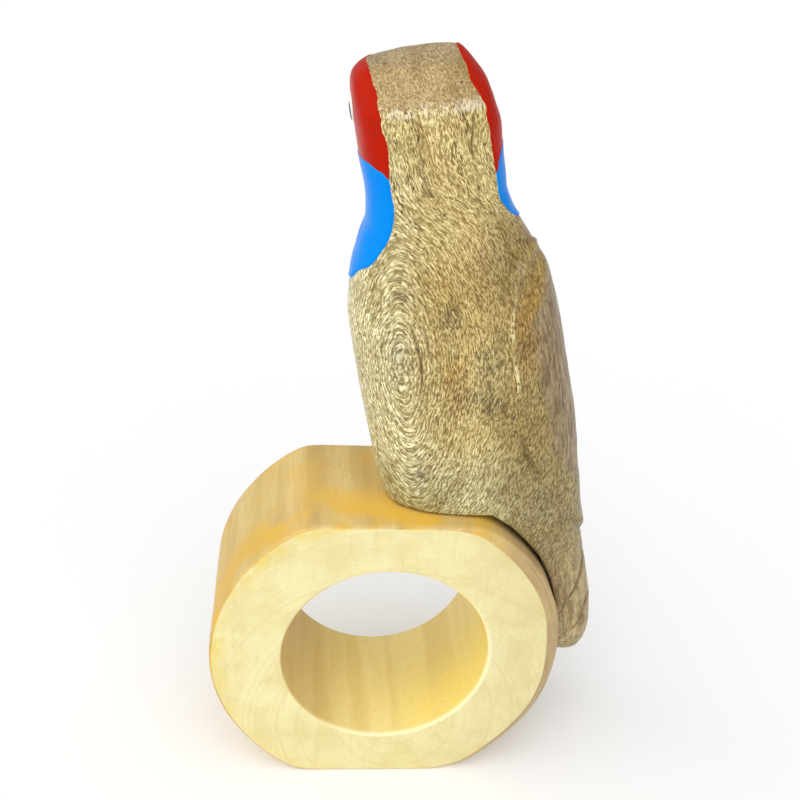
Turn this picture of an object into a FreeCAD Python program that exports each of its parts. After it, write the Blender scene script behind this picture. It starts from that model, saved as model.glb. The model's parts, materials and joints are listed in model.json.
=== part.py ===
import FreeCAD, Part
import Sketcher
import math
import os

# A carved wooden bird perched on a wooden napkin ring.
# Frame: millimetres, +Z up, origin at the middle of the flat that the ring stands on,
# X across the ring (the tail hangs on the +X side), Y along the bore.
# The bird's own frame leans about Y, so that the bird's axis is its local Z, and its
# local Y starts at the ring's near face.

DIMS = {
    "bore_radius": 19.0,
    "ring_radius": 32.0,
    "ring_depth": 29.0,
    "bore_height": 28.3,
    "ring_height": 56.5,
    "foot_edge": 0.6,
    "bore_edge": 0.5,
    "bevel_radius": 31.2,
    "bevel_reach": 33.3,
    "bevel_depth": 2.5,
    "bevel_shift": -1.3,
    "bevel_lift": 1.0,
    "lean_angle": 9.0,
    "notch_gap": 1.0,
    "glue_film": 0.3,
    "glue_setback": 4.5,
    "paint_film": 0.25,
    "eye_film": 0.5,
    "pupil_film": 0.75,
    "wing_relief": 0.8,
    "eye_radius": 2.6,
    "pupil_radius": 1.5,
    "eye_setback": 16.5,
    "eye_level": 124.5,
    "head_middle": 20.4,
    "tool_reach": 60.0,
}

# Cross-sections of the carving from the tail's tip to the crown, in the bird's frame:
# level along the axis, left and right sides, near and far sides, and the roundness of
# the near and far corners.
SECTION_FIELDS = ("level", "left", "right", "near", "far", "near_round", "far_round")
SECTIONS = {
    "tail_tip": (14.4, 38.8, 43.0, 10.0, 20.5, 1.8, 1.8),
    "tail_end": (17.0, 36.0, 44.4, 8.0, 22.5, 3.0, 3.0),
    "tail_mid": (28.0, 33.0, 45.2, 7.3, 23.3, 3.5, 3.5),
    "rump": (40.0, 26.0, 44.4, 6.5, 24.5, 5.0, 5.0),
    "thigh": (48.0, 16.0, 43.9, 5.0, 25.5, 6.0, 7.0),
    "seat": (56.0, 7.0, 43.4, 4.1, 26.1, 6.5, 8.0),
    "belly": (68.0, 6.0, 42.4, 3.9, 26.5, 8.0, 9.0),
    "breast": (82.0, 5.0, 41.1, 4.1, 26.8, 9.0, 10.0),
    "shoulder": (93.0, 5.1, 39.5, 4.5, 26.7, 9.0, 10.0),
    "collar": (101.0, 7.1, 36.9, 4.9, 26.3, 8.5, 9.0),
    "neck": (108.0, 9.8, 33.2, 5.3, 26.1, 7.0, 8.5),
    "cheek": (116.0, 9.5, 32.0, 5.5, 27.1, 6.5, 9.0),
    "nape_ridge": (125.4, 9.3, 31.4, 5.7, 27.7, 6.0, 9.0),
    "brow": (128.8, 9.5, 29.8, 9.6, 27.0, 6.0, 8.5),
    "crown_edge": (131.2, 10.8, 28.4, 12.6, 25.6, 5.0, 5.5),
    "crown_top": (132.8, 14.6, 25.5, 16.2, 22.8, 3.0, 3.0),
}
LOWER_SECTIONS = list(SECTIONS)[:13]
UPPER_SECTIONS = list(SECTIONS)[12:]

# Beak sections, from inside the face to the hooked tip: distance along Y, height of
# the middle, half width and half height.
BEAK_FIELDS = ("out", "middle", "half_width", "half_height")
BEAK_SECTIONS = {
    "beak_root": (23.0, 120.5, 5.4, 6.6),
    "beak_base": (28.5, 120.0, 4.9, 6.1),
    "beak_bend": (32.0, 118.2, 3.6, 4.8),
    "beak_tip": (34.5, 115.2, 1.4, 2.2),
}

# Outlines seen along Y, in the bird's frame: corner points (across, up).
OUTLINES = {
    "wing_line": [(36.5, 103.5), (33.3, 99.5), (32.0, 91.0), (32.2, 76.0), (32.6, 67.0),
                  (35.0, 59.5), (40.0, 50.5), (44.6, 41.0), (60.0, 41.0), (60.0, 103.5)],
    "left_cheek_line": [(0.5, 132.3), (12.2, 132.3), (13.0, 127.5), (13.2, 122.5),
                        (14.0, 118.5), (13.2, 115.6), (9.6, 119.0), (0.5, 119.4)],
    "right_cheek_line": [(40.0, 132.3), (26.0, 132.3), (27.8, 127.6), (29.2, 122.6),
                         (29.8, 115.4), (31.6, 117.5), (40.0, 118.5)],
    "left_throat_line": [(0.5, 118.9), (9.5, 118.7), (13.2, 115.1), (14.1, 112.0),
                         (12.9, 105.6), (9.8, 101.8), (0.5, 96.8)],
    "right_throat_line": [(40.0, 118.0), (31.7, 117.1), (30.1, 114.7), (30.4, 110.4),
                          (33.7, 106.7), (40.0, 105.5)],
    "bib_line": [(0.5, 118.9), (9.5, 118.7), (15.0, 113.5), (25.5, 113.5), (31.6, 117.1),
                 (40.0, 118.0), (40.0, 105.5), (33.7, 106.7), (27.0, 97.5), (16.0, 95.5),
                 (5.5, 99.5), (0.5, 96.8)],
}

document = FreeCAD.newDocument("napkin_ring_bird")
sheet = document.addObject("Spreadsheet::Sheet", "dims")


def fill_sheet():
    """Write every driving dimension into the sheet, one row each, with its alias."""
    rows = dict(DIMS)
    for table, fields in ((SECTIONS, SECTION_FIELDS), (BEAK_SECTIONS, BEAK_FIELDS)):
        for name, values in table.items():
            for field, value in zip(fields, values):
                rows[f"{name}_{field}"] = value
    for name, points in OUTLINES.items():
        for index, (across, up) in enumerate(points):
            rows[f"{name}_across_{index}"] = across
            rows[f"{name}_up_{index}"] = up
    for row, (alias, value) in enumerate(rows.items(), start=1):
        sheet.set(f"A{row}", alias)
        sheet.set(f"B{row}", str(value))
        sheet.setAlias(f"B{row}", alias)
    document.recompute()


def new_body(name):
    return document.addObject("PartDesign::Body", name)


def lean_with_bird(item):
    """Place an object built in the bird's frame: leaning about Y, from the near face."""
    item.Placement = FreeCAD.Placement(
        FreeCAD.Vector(0, 0, 0), FreeCAD.Rotation(FreeCAD.Vector(0, 1, 0), -DIMS["lean_angle"]))
    item.setExpression("Placement.Rotation.Angle", "-dims.lean_angle")
    item.setExpression("Placement.Base.y", "-dims.ring_depth / 2")


def new_sketch(body, name, role, offset=None):
    """A sketch on one of the body's own origin planes, pushed along its normal."""
    plane = [item for item in body.Origin.OriginFeatures if item.Role == role][0]
    sketch = body.newObject("Sketcher::SketchObject", name)
    sketch.AttachmentSupport = [(plane, "")]
    sketch.MapMode = "FlatFace"
    if offset:
        sketch.setExpression("AttachmentOffset.Base.z", offset)
    return sketch


def fix(sketch, kind, references, name, expression, value):
    """Add one named dimension and bind it to the sheet."""
    index = sketch.addConstraint(Sketcher.Constraint(kind, *references, value))
    sketch.renameConstraint(index, name)
    sketch.setExpression(f"Constraints.{name}", expression)


def point_at(sketch, line, end, name, across, up):
    """Hold one end of a line at (across, up), each a pair of expression and value."""
    fix(sketch, "DistanceX", (-1, 1, line, end), f"{name}_across", *across)
    fix(sketch, "DistanceY", (-1, 1, line, end), f"{name}_up", *up)


def rounded_section(body, name, swell):
    """One cross-section of the carving: four sides and four rounded corners."""
    level, left, right, near, far, near_round, far_round = SECTIONS[name]
    grow = DIMS[swell] if swell else 0.0
    left, right, near, far = left - grow, right + grow, near - grow, far + grow
    near_round, far_round = near_round + grow, far_round + grow
    more = f" + dims.{swell}" if swell else ""
    less = f" - dims.{swell}" if swell else ""
    sketch = new_sketch(body, f"{body.Name}_{name}", "XY_Plane", f"dims.{name}_level")
    up = FreeCAD.Vector(0, 0, 1)
    corners = [
        (left + near_round, near + near_round, near_round, 2),
        (right - near_round, near + near_round, near_round, 3),
        (right - far_round, far - far_round, far_round, 0),
        (left + far_round, far - far_round, far_round, 1),
    ]
    sides = [
        ((left + near_round, near), (right - near_round, near)),
        ((right, near + near_round), (right, far - far_round)),
        ((right - far_round, far), (left + far_round, far)),
        ((left, far - far_round), (left, near + near_round)),
    ]
    for start, end in sides:
        sketch.addGeometry(Part.LineSegment(FreeCAD.Vector(*start, 0), FreeCAD.Vector(*end, 0)))
    for x, y, radius, quarter in corners:
        circle = Part.Circle(FreeCAD.Vector(x, y, 0), up, radius)
        sketch.addGeometry(Part.ArcOfCircle(circle, quarter * math.pi / 2, (quarter + 1) * math.pi / 2))
    for corner in range(4):
        arc = 4 + corner
        sketch.addConstraint(Sketcher.Constraint("Tangent", (corner - 1) % 4, 2, arc, 1))
        sketch.addConstraint(Sketcher.Constraint("Tangent", arc, 2, corner, 1))
    sketch.addConstraint(Sketcher.Constraint("Horizontal", 0))
    sketch.addConstraint(Sketcher.Constraint("Vertical", 1))
    sketch.addConstraint(Sketcher.Constraint("Horizontal", 2))
    sketch.addConstraint(Sketcher.Constraint("Vertical", 3))
    sketch.addConstraint(Sketcher.Constraint("Equal", 4, 5))
    sketch.addConstraint(Sketcher.Constraint("Equal", 6, 7))
    fix(sketch, "DistanceX", (-1, 1, 3, 1), "left", f"dims.{name}_left{less}", left)
    fix(sketch, "DistanceX", (-1, 1, 1, 1), "right", f"dims.{name}_right{more}", right)
    fix(sketch, "DistanceY", (-1, 1, 0, 1), "near", f"dims.{name}_near{less}", near)
    fix(sketch, "DistanceY", (-1, 1, 2, 1), "far", f"dims.{name}_far{more}", far)
    fix(sketch, "Radius", (4,), "near_round", f"dims.{name}_near_round{more}", near_round)
    fix(sketch, "Radius", (6,), "far_round", f"dims.{name}_far_round{more}", far_round)
    return sketch


def add_loft(body, name, sketches):
    loft = body.newObject("PartDesign::AdditiveLoft", name)
    loft.Profile = sketches[0]
    loft.Sections = sketches[1:]
    document.recompute()


def carved_block(name, swell=None):
    """The carving's outer form from tail to crown, optionally swollen by a film."""
    body = new_body(name)
    sketches = {section: rounded_section(body, section, swell) for section in SECTIONS}
    add_loft(body, f"{name}_lower", [sketches[section] for section in LOWER_SECTIONS])
    add_loft(body, f"{name}_upper", [sketches[section] for section in UPPER_SECTIONS])
    lean_with_bird(body)
    return body


def beak_block(name, swell=None):
    """The hooked beak, lofted out of the face, optionally swollen by a film."""
    body = new_body(name)
    grow = DIMS[swell] if swell else 0.0
    more = f" + dims.{swell}" if swell else ""
    sketches = []
    for section, (_, middle, half_width, half_height) in BEAK_SECTIONS.items():
        # The plane's normal is -Y, so a section further out has a larger negative offset,
        # and a film also covers the tip's end.
        is_tip = section == list(BEAK_SECTIONS)[-1]
        end_cover = f" - dims.{swell}" if swell and is_tip else ""
        offset = f"-dims.{section}_out{end_cover}"
        sketch = new_sketch(body, f"{name}_{section}", "XZ_Plane", offset)
        centre = FreeCAD.Vector(DIMS["head_middle"], middle, 0)
        tall = FreeCAD.Vector(DIMS["head_middle"], middle + half_height + grow, 0)
        wide = FreeCAD.Vector(DIMS["head_middle"] + half_width + grow, middle, 0)
        sketch.addGeometry(Part.Ellipse(tall, wide, centre))
        sketch.exposeInternalGeometry(0)
        fix(sketch, "DistanceX", (-1, 1, 0, 3), "across", "dims.head_middle", DIMS["head_middle"])
        fix(sketch, "DistanceY", (-1, 1, 0, 3), "up", f"dims.{section}_middle", middle)
        sketch.addConstraint(Sketcher.Constraint("Vertical", 1))
        fix(sketch, "Distance", (1,), "tall", f"2 * (dims.{section}_half_height{more})",
            2 * (half_height + grow))
        fix(sketch, "Distance", (2,), "wide", f"2 * (dims.{section}_half_width{more})",
            2 * (half_width + grow))
        sketches.append(sketch)
    add_loft(body, f"{name}_loft", sketches)
    lean_with_bird(body)
    return body


def outline_prism(name, outline, start=None, length="2 * dims.tool_reach"):
    """A tool seen along Y as a closed outline, through the bird's whole depth by default."""
    body = new_body(name)
    sketch = new_sketch(body, f"{name}_sketch", "XZ_Plane", start)
    points = OUTLINES[outline]
    count = len(points)
    for index, (across, up) in enumerate(points):
        following = points[(index + 1) % count]
        sketch.addGeometry(Part.LineSegment(
            FreeCAD.Vector(across, up, 0), FreeCAD.Vector(*following, 0)))
    for index in range(count):
        sketch.addConstraint(Sketcher.Constraint("Coincident", index, 2, (index + 1) % count, 1))
    for index, (across, up) in enumerate(points):
        point_at(sketch, index, 1, f"corner_{index}",
                 (f"dims.{outline}_across_{index}", across), (f"dims.{outline}_up_{index}", up))
    pad = body.newObject("PartDesign::Pad", f"{name}_pad")
    pad.Profile = sketch
    pad.Midplane = start is None
    pad.Reversed = start is not None
    pad.setExpression("Length", length)
    document.recompute()
    lean_with_bird(body)
    return body


def ring():
    """The turned ring: round outside with a flat foot and a flat top, and a round bore."""
    body = new_body("ring_body")
    radius, bore_up = DIMS["ring_radius"], DIMS["bore_height"]
    top = DIMS["ring_height"]
    sketch = new_sketch(body, "ring_outline", "XZ_Plane")
    circle = Part.Circle(FreeCAD.Vector(0, bore_up, 0), FreeCAD.Vector(0, 0, 1), radius)
    half_foot = math.sqrt(radius ** 2 - bore_up ** 2)
    half_top = math.sqrt(radius ** 2 - (top - bore_up) ** 2)
    foot_angle = math.atan2(bore_up, half_foot)
    top_angle = math.atan2(top - bore_up, half_top)
    sketch.addGeometry(Part.ArcOfCircle(circle, -foot_angle, top_angle))
    sketch.addGeometry(Part.LineSegment(
        FreeCAD.Vector(half_top, top, 0), FreeCAD.Vector(-half_top, top, 0)))
    sketch.addGeometry(Part.ArcOfCircle(circle, math.pi - top_angle, math.pi + foot_angle))
    sketch.addGeometry(Part.LineSegment(
        FreeCAD.Vector(-half_foot, 0, 0), FreeCAD.Vector(half_foot, 0, 0)))
    sketch.addConstraint(Sketcher.Constraint("Coincident", 0, 2, 1, 1))
    sketch.addConstraint(Sketcher.Constraint("Coincident", 1, 2, 2, 1))
    sketch.addConstraint(Sketcher.Constraint("Coincident", 2, 2, 3, 1))
    sketch.addConstraint(Sketcher.Constraint("Coincident", 3, 2, 0, 1))
    sketch.addConstraint(Sketcher.Constraint("Coincident", 0, 3, 2, 3))
    sketch.addConstraint(Sketcher.Constraint("Horizontal", 1))
    sketch.addConstraint(Sketcher.Constraint("PointOnObject", 3, 1, -1))
    sketch.addConstraint(Sketcher.Constraint("Horizontal", 3))
    sketch.addConstraint(Sketcher.Constraint("PointOnObject", 0, 3, -2))
    fix(sketch, "Radius", (0,), "radius", "dims.ring_radius", radius)
    fix(sketch, "DistanceY", (-1, 1, 0, 3), "bore_up", "dims.bore_height", bore_up)
    fix(sketch, "DistanceY", (-1, 1, 1, 1), "top", "dims.ring_height", top)
    pad = body.newObject("PartDesign::Pad", "ring_pad")
    pad.Profile = sketch
    pad.Midplane = True
    pad.setExpression("Length", "dims.ring_depth")
    document.recompute()
    blank_volume = body.Shape.Volume

    bore = new_sketch(body, "bore_sketch", "XZ_Plane")
    bore.addGeometry(Part.Circle(
        FreeCAD.Vector(0, bore_up, 0), FreeCAD.Vector(0, 0, 1), DIMS["bore_radius"]))
    bore.addConstraint(Sketcher.Constraint("PointOnObject", 0, 3, -2))
    fix(bore, "DistanceY", (-1, 1, 0, 3), "bore_up", "dims.bore_height", bore_up)
    fix(bore, "Radius", (0,), "radius", "dims.bore_radius", DIMS["bore_radius"])
    pocket = body.newObject("PartDesign::Pocket", "bore_pocket")
    pocket.Profile = bore
    pocket.Midplane = True
    pocket.setExpression("Length", "2 * dims.ring_depth")
    document.recompute()
    if not body.Shape.Volume < blank_volume:
        raise RuntimeError("the bore removed nothing")
    bored_volume = body.Shape.Volume

    # The near outer edge is sanded off-centre: a cone about an axis shifted to the left
    # and up takes most off the lower right and nothing off the left.
    bevel = new_sketch(body, "bevel_sketch", "YZ_Plane", "dims.bevel_shift")
    bevel.setExpression("AttachmentOffset.Base.y", "dims.bore_height + dims.bevel_lift")
    face = -DIMS["ring_depth"] / 2
    low = (face, DIMS["bevel_radius"])
    high = (face + DIMS["bevel_depth"], DIMS["bevel_reach"])
    outside = DIMS["bevel_reach"] + DIMS["bevel_depth"]
    rim = [low, high, (high[0], outside), (face, outside)]
    for index, (along, out) in enumerate(rim):
        following = rim[(index + 1) % 4]
        bevel.addGeometry(Part.LineSegment(
            FreeCAD.Vector(along, out, 0), FreeCAD.Vector(*following, 0)))
    for index in range(4):
        bevel.addConstraint(Sketcher.Constraint("Coincident", index, 2, (index + 1) % 4, 1))
    bevel.addConstraint(Sketcher.Constraint("Vertical", 1))
    bevel.addConstraint(Sketcher.Constraint("Horizontal", 2))
    bevel.addConstraint(Sketcher.Constraint("Vertical", 3))
    fix(bevel, "DistanceX", (0, 1, -1, 1), "face", "dims.ring_depth / 2", -face)
    fix(bevel, "DistanceX", (0, 1, 0, 2), "depth", "dims.bevel_depth", DIMS["bevel_depth"])
    fix(bevel, "DistanceY", (-1, 1, 0, 1), "low", "dims.bevel_radius", DIMS["bevel_radius"])
    fix(bevel, "DistanceY", (-1, 1, 0, 2), "high", "dims.bevel_reach", DIMS["bevel_reach"])
    fix(bevel, "DistanceY", (-1, 1, 2, 1), "outside", "dims.bevel_reach + dims.bevel_depth",
        outside)
    groove = body.newObject("PartDesign::Groove", "bevel_groove")
    groove.Profile = bevel
    groove.ReferenceAxis = (bevel, ["H_Axis"])
    groove.Angle = 360.0
    document.recompute()
    if not body.Shape.Volume < bored_volume:
        raise RuntimeError("the bevel removed nothing")

    rim_edges = []
    for index, edge in enumerate(body.Shape.Edges, start=1):
        is_circle = isinstance(edge.Curve, Part.Circle)
        if is_circle and abs(edge.Curve.Radius - DIMS["bore_radius"]) < 1e-6:
            rim_edges.append(f"Edge{index}")
    soften = body.newObject("PartDesign::Chamfer", "bore_chamfer")
    soften.Base = (groove, rim_edges)
    soften.setExpression("Size", "dims.bore_edge")
    document.recompute()
    back_edges = []
    for index, edge in enumerate(body.Shape.Edges, start=1):
        middle = edge.valueAt((edge.FirstParameter + edge.LastParameter) / 2)
        from_bore = math.hypot(middle.x, middle.z - bore_up)
        if abs(middle.y + face) < 1e-6 and from_bore > DIMS["bore_radius"] + 2 * DIMS["bore_edge"]:
            back_edges.append(f"Edge{index}")
    ease = body.newObject("PartDesign::Chamfer", "back_chamfer")
    ease.Base = (soften, back_edges)
    ease.setExpression("Size", "dims.foot_edge")
    document.recompute()
    body.Label = "ring"
    return body


def notch_tool():
    """What the carving is cut back to: the ring's outline with a gap, and a level seat."""
    body = new_body("notch_tool")
    bore_up = DIMS["bore_height"]
    seat = DIMS["ring_height"] + DIMS["glue_film"]
    radius = DIMS["ring_radius"] + DIMS["notch_gap"]
    reach = DIMS["tool_reach"]
    half_seat = math.sqrt(radius ** 2 - (seat - bore_up) ** 2)
    seat_angle = math.atan2(seat - bore_up, half_seat)
    sketch = new_sketch(body, "notch_sketch", "XZ_Plane")
    circle = Part.Circle(FreeCAD.Vector(0, bore_up, 0), FreeCAD.Vector(0, 0, 1), radius)
    low = bore_up - radius
    sketch.addGeometry(Part.ArcOfCircle(circle, -math.pi / 2, seat_angle))
    loop = [(half_seat, seat), (-reach, seat), (-reach, low), (0, low)]
    for start, end in zip(loop, loop[1:]):
        sketch.addGeometry(Part.LineSegment(FreeCAD.Vector(*start, 0), FreeCAD.Vector(*end, 0)))
    for index in range(3):
        sketch.addConstraint(Sketcher.Constraint("Coincident", index, 2, index + 1, 1))
    sketch.addConstraint(Sketcher.Constraint("Coincident", 3, 2, 0, 1))
    sketch.addConstraint(Sketcher.Constraint("Horizontal", 1))
    sketch.addConstraint(Sketcher.Constraint("Vertical", 2))
    sketch.addConstraint(Sketcher.Constraint("Horizontal", 3))
    sketch.addConstraint(Sketcher.Constraint("PointOnObject", 0, 3, -2))
    sketch.addConstraint(Sketcher.Constraint("PointOnObject", 0, 1, -2))
    fix(sketch, "Radius", (0,), "radius", "dims.ring_radius + dims.notch_gap", radius)
    fix(sketch, "DistanceY", (-1, 1, 0, 3), "bore_up", "dims.bore_height", bore_up)
    fix(sketch, "DistanceY", (-1, 1, 1, 1), "seat", "dims.ring_height + dims.glue_film", seat)
    fix(sketch, "DistanceX", (1, 2, -1, 1), "reach", "dims.tool_reach", reach)
    pad = body.newObject("PartDesign::Pad", "notch_pad")
    pad.Profile = sketch
    pad.Midplane = True
    pad.setExpression("Length", "2 * dims.tool_reach")
    document.recompute()
    return body


def boolean(kind, name, *shapes):
    """A Part boolean: Common and Cut take two shapes, MultiFuse takes several."""
    item = document.addObject(f"Part::{kind}", name)
    if kind == "MultiFuse":
        item.Shapes = list(shapes)
    else:
        item.Base, item.Tool = shapes
    document.recompute()
    return item


def eye_peg(name, side, radius):
    """A round peg across the head that limits an eye's disc, on the left or right."""
    peg = document.addObject("Part::Cylinder", name)
    peg.setExpression("Radius", f"dims.{radius}")
    peg.setExpression("Height", "dims.head_middle")
    inner = DIMS["head_middle"]
    lean = FreeCAD.Rotation(FreeCAD.Vector(0, 1, 0), -DIMS["lean_angle"])
    place = FreeCAD.Vector(inner, DIMS["eye_setback"], DIMS["eye_level"])
    turn = FreeCAD.Rotation(FreeCAD.Vector(0, 1, 0), 90 * side)
    shift = FreeCAD.Vector(0, -DIMS["ring_depth"] / 2, 0)
    peg.Placement = FreeCAD.Placement(shift + lean.multVec(place), lean.multiply(turn))
    document.recompute()
    return peg


def bird_and_films(nodes):
    """The carving, and the glue and paint films that lie on it."""
    core = carved_block("bird_core")
    wings = boolean("Common", "wing_panels", carved_block("wing_swell", "wing_relief"),
                    outline_prism("wing_prism", "wing_line"))
    blank = boolean("MultiFuse", "bird_blank", core, wings, beak_block("beak_core"))
    tool = notch_tool()
    bird = boolean("Cut", "bird_cut", blank, tool)
    bird.Label = "bird"
    nodes.append(bird)

    slab = document.addObject("Part::Box", "glue_slab")
    slab.setExpression("Length", "dims.tool_reach + dims.bore_radius - dims.glue_setback")
    slab.setExpression("Width", "dims.ring_depth")
    slab.setExpression("Height", "dims.glue_film")
    slab.setExpression("Placement.Base.x", "-dims.tool_reach")
    slab.setExpression("Placement.Base.y", "-dims.ring_depth / 2")
    slab.setExpression("Placement.Base.z", "dims.ring_height")
    glue = boolean("Common", "glue_film", slab, core)
    glue.Label = "glue_bed"
    nodes.append(glue)

    paint = boolean("Cut", "paint_swell", carved_block("paint_block", "paint_film"), bird)
    for node, outline in (("cheek_paint_left", "left_cheek_line"),
                          ("cheek_paint_right", "right_cheek_line")):
        film = boolean("Common", f"{node}_film", paint, outline_prism(f"{node}_prism", outline))
        film.Label = node
        nodes.append(film)

    bib = boolean("MultiFuse", "throat_area",
                  outline_prism("bib_prism", "bib_line", "-dims.eye_setback", "dims.ring_depth"),
                  outline_prism("throat_left_prism", "left_throat_line"),
                  outline_prism("throat_right_prism", "right_throat_line"))
    throat = boolean("Common", "throat_film", paint, bib)
    throat.Label = "throat_paint"
    nodes.append(throat)

    beak_film = boolean("Cut", "beak_film", beak_block("beak_swell", "paint_film"), bird)
    beak_film.Label = "beak_paint"
    nodes.append(beak_film)

    layers = {"eye_white": ("eye_radius", "eye_film", "paint_film"),
              "pupil": ("pupil_radius", "pupil_film", "eye_film")}
    blocks = {}
    for swell in ("paint_film", "eye_film", "pupil_film"):
        blocks[swell] = carved_block(f"{swell}_block", swell)
    for layer, (radius, outer, inner) in layers.items():
        for side_name, side in (("left", -1), ("right", 1)):
            peg = eye_peg(f"{layer}_{side_name}_peg", side, radius)
            disc = boolean("Common", f"{layer}_{side_name}_disc", peg, blocks[outer])
            film = boolean("Cut", f"{layer}_{side_name}_film", disc, blocks[inner])
            film.Label = f"{layer}_{side_name}"
            nodes.append(film)


fill_sheet()
nodes = [ring()]
bird_and_films(nodes)
document.recompute()

for item in document.Objects:
    if "Invalid" in item.State or "Error" in item.State:
        raise RuntimeError(f"{item.Name} failed: {item.State}")
os.makedirs("parts", exist_ok=True)
for node in nodes:
    if node.Shape.isNull() or not node.Shape.isValid():
        raise RuntimeError(f"{node.Label} has no valid shape")
for node in nodes:
    box = node.Shape.BoundBox
    print(node.Label, len(node.Shape.Solids), round(node.Shape.Volume, 1), box)
    node.Shape.exportStep(f"parts/{node.Label}.step")
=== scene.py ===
import json
import math

import bmesh
import bpy
import numpy as np
from mathutils import Matrix, Vector
from mathutils.bvhtree import BVHTree


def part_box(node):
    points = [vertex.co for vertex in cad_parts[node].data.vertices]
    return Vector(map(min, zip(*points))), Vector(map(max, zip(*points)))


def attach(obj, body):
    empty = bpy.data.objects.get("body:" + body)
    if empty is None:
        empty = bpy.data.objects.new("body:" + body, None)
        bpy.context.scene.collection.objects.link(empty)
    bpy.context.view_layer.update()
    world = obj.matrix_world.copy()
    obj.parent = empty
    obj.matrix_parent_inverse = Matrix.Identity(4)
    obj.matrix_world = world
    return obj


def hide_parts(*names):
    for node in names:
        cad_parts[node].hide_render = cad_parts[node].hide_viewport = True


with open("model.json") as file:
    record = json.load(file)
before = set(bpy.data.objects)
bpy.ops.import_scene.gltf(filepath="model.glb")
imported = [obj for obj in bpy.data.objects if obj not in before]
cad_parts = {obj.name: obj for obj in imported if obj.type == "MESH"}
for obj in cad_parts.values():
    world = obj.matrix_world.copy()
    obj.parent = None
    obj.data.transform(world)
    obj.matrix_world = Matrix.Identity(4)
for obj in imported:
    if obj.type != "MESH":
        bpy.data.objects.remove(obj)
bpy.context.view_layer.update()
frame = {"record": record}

# A carved and painted wooden bird glued on a wooden napkin ring.
# Lengths in this script are millimetres in the part's frame, until a mesh is made.
# The bird has a frame of its own, which leans about Y: across, along Y, and up its axis.

MM = 0.001

# ---------------------------------------------------------------- sizes from the frame
MOUNTS = {mount["name"]: mount for mount in frame["record"]["mounts"]}
ring_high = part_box("ring")[1]
RING_RADIUS = ring_high.x / MM
RING_HEIGHT = ring_high.z / MM
RING_HALF_DEPTH = ring_high.y / MM
BORE_RADIUS = MOUNTS["napkin_bore"]["dims"]["r_mm"]
BORE_UP = MOUNTS["napkin_bore"]["pos_m"][2] / MM

# ---------------------------------------------------------------- the bird's own sizes
LEAN = math.radians(9.0)
HEAD_MIDDLE = 20.4
SEAT_GAP = 0.3
EYE_PLACE = (2.2, 124.5)
PUPIL_PLACE = (2.1, 123.9)

# The ring isn't quite round, and its near rim was sanded most at the lower right:
# degrees from +X towards +Z, and millimetres.
RIM_FULLNESS = [(-180, 0.1), (-150, 0.1), (-120, 0.3), (-60, 0.7), (-30, 0.6), (15, 0.6),
                (45, 0.25), (75, 0.0), (180, 0.1)]
RIM_BEVEL = [(-180, 0.5), (-150, 0.6), (-122, 0.6), (-112, 0.35), (-90, 0.25), (-70, 0.4), (-60, 1.9),
             (-45, 2.4), (0, 2.4), (20, 2.1), (35, 2.2), (52, 1.8), (62, 1.1), (70, 0.35),
             (90, 0.2), (112, 0.3), (125, 0.5), (180, 0.5)]
NOTCH_GAP = 1.0
NOTCH_LIFT = 0.3
VOXEL = 0.3
WING_RISE = 0.8
GLUE_EDGES = (2.6, 12.6, -8.4, 9.6)

# Cross-sections from the tail's tip to the crown: level, left, right, near side, far
# side, and the squareness of the near and far halves (2 is an ellipse).
SECTIONS = [
    (14.4, 38.6, 40.8, -1.4, 4.6, 2.2, 2.2),
    (15.0, 37.2, 42.2, -3.0, 6.0, 2.3, 2.3),
    (16.4, 36.1, 43.5, -4.8, 7.0, 2.4, 2.4),
    (19.0, 35.3, 44.5, -6.1, 7.9, 2.5, 2.5),
    (23.0, 34.4, 45.0, -6.9, 8.4, 2.6, 2.6),
    (28.0, 32.8, 45.1, -7.3, 8.9, 2.7, 2.6),
    (34.0, 29.5, 44.7, -7.8, 9.4, 2.7, 2.6),
    (40.0, 24.0, 43.9, -8.6, 10.0, 2.8, 2.6),
    (48.0, 14.6, 43.3, -9.8, 11.0, 2.9, 2.6),
    (56.0, 7.9, 42.9, -10.7, 11.6, 3.0, 2.6),
    (64.0, 6.5, 42.3, -10.8, 12.0, 3.0, 2.6),
    (73.0, 5.7, 41.5, -10.6, 12.2, 3.0, 2.6),
    (82.0, 5.1, 40.6, -10.4, 12.3, 2.9, 2.6),
    (89.0, 4.9, 39.6, -10.2, 12.2, 2.9, 2.6),
    (95.0, 5.6, 38.4, -10.0, 12.0, 2.8, 2.6),
    (99.7, 6.7, 37.0, -9.7, 11.8, 2.8, 2.6),
    (103.5, 8.1, 35.2, -9.4, 11.6, 2.8, 2.5),
    (107.5, 9.8, 33.2, -9.1, 11.6, 2.9, 2.5),
    (111.0, 10.1, 32.3, -9.0, 12.0, 3.0, 2.5),
    (116.0, 9.7, 32.1, -8.9, 12.8, 3.1, 2.5),
    (121.0, 9.5, 31.9, -8.8, 13.2, 3.3, 2.6),
    (124.5, 9.4, 31.0, -8.7, 13.2, 3.4, 2.7),
    (125.6, 9.4, 30.7, -8.2, 13.1, 3.4, 2.8),
    (127.0, 9.5, 30.3, -6.9, 12.8, 3.4, 2.8),
    (128.8, 9.8, 29.2, -5.2, 12.1, 3.3, 2.9),
    (130.3, 11.0, 28.2, -3.6, 10.6, 3.2, 2.8),
    (131.3, 13.3, 27.4, -2.0, 8.6, 3.0, 2.7),
    (132.1, 17.0, 26.6, 0.0, 5.4, 2.8, 2.6),
    (132.5, 19.8, 25.2, 1.6, 3.2, 2.4, 2.4),
]

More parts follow.
